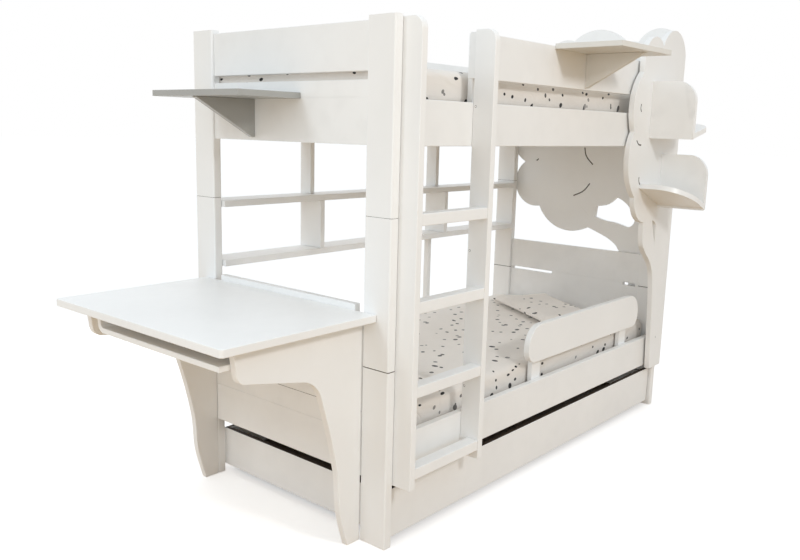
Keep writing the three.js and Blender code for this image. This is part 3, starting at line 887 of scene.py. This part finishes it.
class BUNKBED_OT_ladder(bpy.types.Operator):
    """Round over and lacquer the ladder, and set the screws in its stiles"""

    bl_idname = "bunkbed.ladder"
    bl_label = "Ladder"

    def execute(self, context):
        dress_boards(context.scene, LADDER)
        for side, facing in (("left", 1), ("right", -1)):
            low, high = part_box(f"ladder_{side}_stile")
            face = high.x if facing > 0 else low.x
            for count, height in enumerate(SCREW_HEIGHTS, 1):
                centre = Vector((face, high.y - SCREW_FROM_BACK, height))
                screw_head(f"ladder_{side}_screw_{count}", centre, Vector((facing, 0, 0)))
        return {"FINISHED"}


class BUNKBED_OT_desk(bpy.types.Operator):
    """Round over and lacquer the desk"""

    bl_idname = "bunkbed.desk"
    bl_label = "Desk"

    def execute(self, context):
        dress_boards(context.scene, DESK)
        return {"FINISHED"}


class BUNKBED_OT_drawer(bpy.types.Operator):
    """Round over and lacquer the drawer, and turn its four wheels"""

    bl_idname = "bunkbed.drawer"
    bl_label = "Drawer"

    def execute(self, context):
        dress_boards(context.scene, [*DRAWER_WALLS, "drawer_bottom"], THIN_SHARE)
        # Painted shade: the drawer's bottom and the top edges of its walls take dark hardboard, so
        # that the gap under the rail reads dark
        bottom = bpy.data.objects["drawer_bottom_board"].data
        bottom.materials[0] = material_for("smoked_hardboard", context.scene)
        for node in DRAWER_WALLS:
            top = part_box(node)[1].z - 0.0005
            shade_faces(
                bpy.data.objects[f"{node}_board"],
                "smoked_hardboard",
                lambda face, points: face.normal.z > 0.9 and all(point.z > top for point in points),
            )
        for node in WHEELS:
            turned_wheel(node)
        return {"FINISHED"}


WHEEL_TYRE = 0.018
WHEEL_STUB = 0.005
# One side of a wheel from the hub out: shares of the radius, and depths under the side
WHEEL_SIDE = (
    (0.34, 0.0),
    (0.36, 0.0035),
    (0.74, 0.0035),
    (0.78, 0.0005),
    (0.93, 0.0),
    (0.985, 0.0014),
    (1.0, 0.004),
)


def turned_wheel(node):
    """A plastic wheel with a rounded tyre, a dished hub and its stub axle."""
    low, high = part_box(node)
    radius = (high.z - low.z) / 2
    length = high.x - low.x
    start = length - WHEEL_TYRE
    profile = [(0.0, 0.0), (WHEEL_STUB, 0.0), (WHEEL_STUB, start)]
    profile += [(radius * share, start + depth) for share, depth in WHEEL_SIDE]
    profile += [(radius * share, length - depth) for share, depth in reversed(WHEEL_SIDE)]
    profile.append((0.0, length))
    shape = turned_shape(profile, 40)
    inward = 1 if "left" in node else -1
    seat = low.x if inward > 0 else high.x
    centre = Vector((seat, (low.y + high.y) / 2, (low.z + high.z) / 2))
    turn = Matrix.Rotation(math.radians(90) * inward, 4, "Y")
    bmesh.ops.transform(shape, matrix=Matrix.Translation(centre) @ turn, verts=shape.verts[:])
    piece = add_object(f"{node}_turned", finish_mesh(shape, node), "wheel_plastic")
    weigh_normals(piece)
    stand_for(piece, node)


# Leaf marks on the tree: points across and up the panel's face, from the bed's front left foot
FRONT_LEAF_MARKS = (
    ((1.605, 1.341), (1.626, 1.324), (1.654, 1.320)),
    ((1.625, 1.500), (1.622, 1.482), (1.631, 1.465)),
    ((1.657, 1.178), (1.659, 1.158), (1.674, 1.142)),
)
END_LEAF_MARKS = (
    ((0.480, 1.292), (0.469, 1.251), (0.427, 1.205)),
    ((0.437, 1.106), (0.470, 1.066), (0.529, 1.036)),
    ((0.757, 1.222), (0.763, 1.216), (0.770, 1.212)),
)
MARK_WIDTH = 0.0065
# The screw low in the trunk, across and up from the same foot
TRUNK_SCREW = (1.990, 0.373)


class BUNKBED_OT_tree(bpy.types.Operator):
    """Round over and lacquer the tree, and cut its leaf marks"""

    bl_idname = "bunkbed.tree"
    bl_label = "Tree"

    def execute(self, context):
        edge = context.scene.lacquer.edge
        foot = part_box("front_left_post_lower")[0]
        front = dressed_board("tree_front_panel", edge)
        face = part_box("tree_front_panel")[0].y
        for mark in FRONT_LEAF_MARKS:
            points = [(foot.x + across, face, height) for across, height in mark]
            cut_groove(front, points, MARK_WIDTH)
        place = Vector((foot.x + TRUNK_SCREW[0], face, TRUNK_SCREW[1]))
        screw_head("tree_trunk_screw", place, Vector((0, -1, 0)))
        end = dressed_board("tree_end_panel", edge)
        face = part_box("tree_end_panel")[0].x
        for mark in END_LEAF_MARKS:
            points = [(face, foot.y + across, height) for across, height in mark]
            cut_groove(end, points, MARK_WIDTH)
        for piece in (front, end):
            weigh_normals(piece)
        dress_boards(context.scene, TREE_SHELVES, THIN_SHARE)
        return {"FINISHED"}


class BUNKBED_OT_shelves(bpy.types.Operator):
    """Round over and lacquer the hanging shelves and the back shelves"""

    bl_idname = "bunkbed.shelves"
    bl_label = "Shelves"

    def execute(self, context):
        dress_boards(context.scene, HANGING_SHELVES, SHELF_SHARE)
        dress_boards(context.scene, BACK_SHELVES)
        return {"FINISHED"}


SIMULATION_FRAMES = 12


def padded_block(size, edge, voxel):
    """A block of filling with rounded edges, remeshed evenly, centred at the origin."""
    shape = bmesh.new()
    bmesh.ops.create_cube(shape, size=1)
    bmesh.ops.scale(shape, vec=size, verts=shape.verts[:])
    round_edges(shape, shape.edges[:], edge, 4)
    mesh = bpy.data.meshes.new("filling")
    shape.to_mesh(mesh)
    shape.free()
    block = bpy.data.objects.new("filling", mesh)
    bpy.context.scene.collection.objects.link(block)
    remesh = block.modifiers.new("Even mesh", "REMESH")
    remesh.mode = "VOXEL"
    remesh.voxel_size = voxel
    apply_modifiers(block)
    return block


def inflate(block, pressure, cap):
    """Blows a block up as sewn cloth, and keeps each point within the cap of its start."""
    start = [vertex.co.copy() for vertex in block.data.vertices]
    cloth = block.modifiers.new("Cloth", "CLOTH")
    settings = cloth.settings
    settings.quality = 5
    settings.mass = 0.25
    settings.use_pressure = True
    settings.uniform_pressure_force = pressure
    settings.effector_weights.gravity = 0
    settings.tension_stiffness = 12
    settings.compression_stiffness = 12
    settings.bending_stiffness = 0.4
    cloth.collision_settings.use_collision = False
    cloth.point_cache.frame_start = 1
    cloth.point_cache.frame_end = SIMULATION_FRAMES
    scene = bpy.context.scene
    for step in range(1, SIMULATION_FRAMES + 1):
        scene.frame_set(step)
    evaluated = block.evaluated_get(bpy.context.evaluated_depsgraph_get())
    blown = [vertex.co.copy() for vertex in evaluated.data.vertices]
    block.modifiers.clear()
    scene.frame_set(1)
    for vertex, before, after in zip(block.data.vertices, start, blown):
        move = after - before
        if move.length > cap:
            move.length = cap
        vertex.co = before + move


def fit_to_box(mesh, low, high):
    """Stretches a mesh so that its own box is the one given."""
    own_low = Vector(min(vertex.co[axis] for vertex in mesh.vertices) for axis in range(3))
    own_high = Vector(max(vertex.co[axis] for vertex in mesh.vertices) for axis in range(3))
    for vertex in mesh.vertices:
        for axis in range(3):
            share = (vertex.co[axis] - own_low[axis]) / (own_high[axis] - own_low[axis])
            vertex.co[axis] = low[axis] + share * (high[axis] - low[axis])


def crease_top(mesh, low, high, height, seed):
    """Adds soft creases to the top of a mattress and gathers to its sides, all inwards."""
    size = high - low
    for vertex in mesh.vertices:
        share = (vertex.co.z - low.z) / size.z
        fade = max(0.0, min(1.0, (share - 0.35) / 0.4))
        point = Vector((vertex.co.x * 1.3, vertex.co.y * 3.1, seed))
        bend = noise.noise(point * 0.9) * 1.8
        ridge = 1 - abs(noise.noise(Vector((point.x * 2.2 + bend, point.y * 1.5 - bend, seed))))
        fine = noise.noise(Vector((vertex.co.x * 9, vertex.co.y * 14, seed + 7)))
        drop = (1 - ridge**6) * height + 0.35 * height * abs(fine)
        vertex.co.z -= fade * drop
        upright = 1 - abs(vertex.normal.z)
        gather = noise.noise(Vector((vertex.co.x * 19, vertex.co.y * 19, vertex.co.z * 5 + seed)))
        inward = upright * height * abs(gather) * (1.6 - share)
        vertex.co -= Vector((vertex.normal.x, vertex.normal.y, 0)) * inward


def unfold_sheet(mesh, high, edge, offset):
    """Gives bedding flat coordinates that run over its edges without a break."""
    layer = mesh.uv_layers.new(name="cloth")
    top = high.z - edge
    for loop in mesh.loops:
        point = mesh.vertices[loop.vertex_index].co
        normal = mesh.vertices[loop.vertex_index].normal
        drop = max(0.0, top - point.z) + edge * math.pi / 2 * (1 - max(0.0, normal.z))
        u, v = point.x, point.y
        if abs(normal.y) > abs(normal.x):
            v += math.copysign(drop, normal.y)
        else:
            u += math.copysign(drop, normal.x)
        layer.data[loop.index].uv = (u + offset[0], v + offset[1])


def soft_piece(name, mesh, node):
    """Adds a smooth padded piece of bedding, which stands for its node."""
    for polygon in mesh.polygons:
        polygon.use_smooth = True
    piece = add_object(name, mesh, "sheet_fabric")
    finer = piece.modifiers.new("Soft", "SUBSURF")
    finer.levels = finer.render_levels = 1
    stand_for(piece, node)


# The mattress block: its rounding, how much smaller it starts than the mattress, its voxels,
# the pressure in it, and how far a point may move
MATTRESS_EDGE = 0.026
MATTRESS_SWELL = Vector((0.012, 0.012, 0.018))
MATTRESS_VOXEL = 0.02
MATTRESS_PRESSURE = 6.0
MATTRESS_CAP = 0.014
# Each sheet's place, the shift of its print and the seed of its creases
SHEETS = (("lower", (0.0, 0.0), 1.7), ("upper", (0.37, 0.21), 5.3))


class BUNKBED_OT_mattresses(bpy.types.Operator):
    """Blow up the mattresses and draw their spotted sheets over them"""

    bl_idname = "bunkbed.mattresses"
    bl_label = "Mattresses"

    def execute(self, context):
        low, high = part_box("lower_mattress")
        block = padded_block(high - low - MATTRESS_SWELL, MATTRESS_EDGE, MATTRESS_VOXEL)
        inflate(block, MATTRESS_PRESSURE, MATTRESS_CAP)
        for place, offset, seed in SHEETS:
            node = f"{place}_mattress"
            low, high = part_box(node)
            mesh = block.data.copy()
            fit_to_box(mesh, low, high)
            crease_top(mesh, low, high, context.scene.bedding.crease, seed)
            unfold_sheet(mesh, high, MATTRESS_EDGE, offset)
            soft_piece(f"{place}_sheeted_mattress", mesh, node)
        bpy.data.objects.remove(block)
        return {"FINISHED"}


# The pillow's plan and turn, and its block as for the mattresses, with the print's shift
PILLOW_SIZE = (0.560, 0.330)
PILLOW_TURN = math.radians(60)
PILLOW_VOXEL = 0.008
PILLOW_PRESSURE = 9.0
PILLOW_CAP = 0.024
PILLOW_PRINT = (1.31, 0.47)


class BUNKBED_OT_pillow(bpy.types.Operator):
    """Blow up the pillow on the lower bed"""

    bl_idname = "bunkbed.pillow"
    bl_label = "Pillow"

    def execute(self, context):
        low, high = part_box("pillow")
        height = high.z - low.z
        length, width = PILLOW_SIZE
        block = padded_block((length, width, height * 0.55), height * 0.26, PILLOW_VOXEL)
        inflate(block, PILLOW_PRESSURE, PILLOW_CAP)
        half = Vector((length / 2, width / 2, height / 2))
        fit_to_box(block.data, -half, half)
        mesh = block.data.copy()
        for vertex in mesh.vertices:
            across = noise.noise(Vector((vertex.co.x * 16, vertex.co.y * 9, 2.5)))
            vertex.co.z += 0.0016 * across * (1 if vertex.co.z > 0 else 0)
        unfold_sheet(mesh, half, height * 0.3, PILLOW_PRINT)
        centre = (low + high) / 2
        mesh.transform(Matrix.Translation(centre) @ Matrix.Rotation(PILLOW_TURN, 4, "Z"))
        bpy.data.objects.remove(block)
        soft_piece("covered_pillow", mesh, "pillow")
        return {"FINISHED"}


FLOOR_REACH = 60
AMBIENT_COLOUR = (0.89, 0.95, 1.0)
LIGHT_AIM = Vector((-0.1, 0.0, 0.9))
# Each light's name, place, size and colour; its power is a setting
LIGHTS = (
    ("front", (-0.7, -3.9, 3.0), 0.5, (0.98, 0.99, 1.0)),
    ("left", (-4.4, 0.9, 3.4), 0.9, (0.84, 0.93, 1.0)),
    ("low", (-6.0, 0.3, 1.4), 3.0, (0.9, 0.95, 1.0)),
    ("inner", (-4.7, -1.9, 1.3), 2.5, (0.92, 0.96, 1.0)),
    ("wall", (0.2, 2.8, 1.4), 3.2, (1.0, 1.0, 1.0)),
)


def soft_light(name, place, size, power, colour):
    data = bpy.data.lights.new(name, "AREA")
    data.shape = "SQUARE"
    data.size = size
    data.energy = power
    data.color = colour
    light = bpy.data.objects.new(name, data)
    light.location = place
    light.rotation_euler = (LIGHT_AIM - Vector(place)).to_track_quat("-Z", "Y").to_euler()
    light.visible_camera = False
    bpy.context.scene.collection.objects.link(light)
    return light


def seen_directly(graph):
    """1 for a ray from the camera, or seen in a mirror or through glass, and 0 for light."""
    path = graph.add("ShaderNodeLightPath")
    seen = graph.math("MAXIMUM", path.outputs["Is Camera Ray"], path.outputs["Is Glossy Ray"])
    return graph.math("MAXIMUM", seen, path.outputs["Is Transmission Ray"])


class BUNKBED_OT_stage(bpy.types.Operator):
    """Set the floor, the light and the camera"""

    bl_idname = "bunkbed.stage"
    bl_label = "Stage"

    def execute(self, context):
        scene = context.scene
        settings = scene.stage
        floor = bmesh.new()
        bmesh.ops.create_grid(floor, x_segments=1, y_segments=1, size=FLOOR_REACH)
        mesh = bpy.data.meshes.new("floor")
        floor.to_mesh(mesh)
        floor.free()
        plane = bpy.data.objects.new("floor", mesh)
        scene.collection.objects.link(plane)
        material, graph = new_material("floor")
        seen = seen_directly(graph)
        pale = graph.add("ShaderNodeBsdfDiffuse", {"Color": rgba(settings.floor)})
        glow = graph.add("ShaderNodeEmission", {"Color": (1, 1, 1, 1), "Strength": settings.glow})
        both = graph.add("ShaderNodeAddShader", {0: pale.outputs[0], 1: glow.outputs[0]})
        warm = graph.add("ShaderNodeBsdfDiffuse", {"Color": rgba(settings.bounce)})
        mixed = graph.add("ShaderNodeMixShader", {0: seen, 1: warm.outputs[0], 2: both.outputs[0]})
        graph.add("ShaderNodeOutputMaterial", {"Surface": mixed.outputs[0]})
        mesh.materials.append(material)

        world = bpy.data.worlds.new("studio")
        scene.world = world
        world.use_nodes = True
        graph = Graph(world.node_tree)
        seen = seen_directly(graph)
        ambient = graph.add(
            "ShaderNodeBackground", {"Color": rgba(AMBIENT_COLOUR), "Strength": settings.ambient}
        )
        white = graph.add("ShaderNodeBackground", {"Color": (1, 1, 1, 1), "Strength": 1.0})
        sides = {0: seen, 1: ambient.outputs[0], 2: white.outputs[0]}
        mixed = graph.add("ShaderNodeMixShader", sides)
        graph.add("ShaderNodeOutputWorld", {"Surface": mixed.outputs[0]})

        for name, place, size, colour in LIGHTS:
            light = soft_light(name, place, size, getattr(settings, f"{name}_power"), colour)
            light.visible_glossy = name != "wall"

        data = bpy.data.cameras.new("camera")
        data.sensor_width = SENSOR_WIDTH
        data.lens = FOCAL_PIXELS / PHOTO_WIDTH * SENSOR_WIDTH
        data.clip_end = CAMERA_REACH
        camera = bpy.data.objects.new("camera", data)
        heading = Matrix.Rotation(CAMERA_HEADING - math.pi / 2, 4, "Z")
        pitch = Matrix.Rotation(CAMERA_PITCH + math.pi / 2, 4, "X")
        roll = Matrix.Rotation(CAMERA_ROLL, 4, "Z")
        camera.matrix_world = Matrix.Translation(CAMERA_PLACE) @ heading @ pitch @ roll
        scene.collection.objects.link(camera)
        scene.camera = camera
        scene.view_settings.view_transform = "Standard"
        return {"FINISHED"}


PIECES = (
    BUNKBED_OT_posts,
    BUNKBED_OT_rails,
    BUNKBED_OT_ends,
    BUNKBED_OT_slats,
    BUNKBED_OT_ladder,
    BUNKBED_OT_desk,
    BUNKBED_OT_drawer,
    BUNKBED_OT_tree,
    BUNKBED_OT_shelves,
    BUNKBED_OT_mattresses,
    BUNKBED_OT_pillow,
    BUNKBED_OT_stage,
)


class BUNKBED_PT_panel(bpy.types.Panel):
    bl_idname = "BUNKBED_PT_panel"
    bl_label = "Bunk bed"
    bl_space_type = "VIEW_3D"
    bl_region_type = "UI"
    bl_category = "Bunk Bed"

    def draw(self, context):
        scene = context.scene
        for title, settings in (
            ("Lacquer", scene.lacquer),
            ("Bedding", scene.bedding),
            ("Stage", scene.stage),
        ):
            box = self.layout.box()
            box.label(text=title)
            for name in settings.__annotations__:
                box.prop(settings, name)
        column = self.layout.column(align=True)
        for piece in PIECES:
            column.operator(piece.bl_idname)


SETTINGS = (LacquerSettings, BeddingSettings, StageSettings)
CLASSES = (*SETTINGS, *PIECES, BUNKBED_PT_panel)


def register():
    for item in CLASSES:
        bpy.utils.register_class(item)
    bpy.types.Scene.lacquer = bpy.props.PointerProperty(type=LacquerSettings)
    bpy.types.Scene.bedding = bpy.props.PointerProperty(type=BeddingSettings)
    bpy.types.Scene.stage = bpy.props.PointerProperty(type=StageSettings)


def unregister():
    del bpy.types.Scene.stage
    del bpy.types.Scene.bedding
    del bpy.types.Scene.lacquer
    for item in reversed(CLASSES):
        bpy.utils.unregister_class(item)


def main():
    register()
    for piece in PIECES:
        category, name = piece.bl_idname.split(".")
        getattr(getattr(bpy.ops, category), name)()


if __name__ == "__main__":
    main()
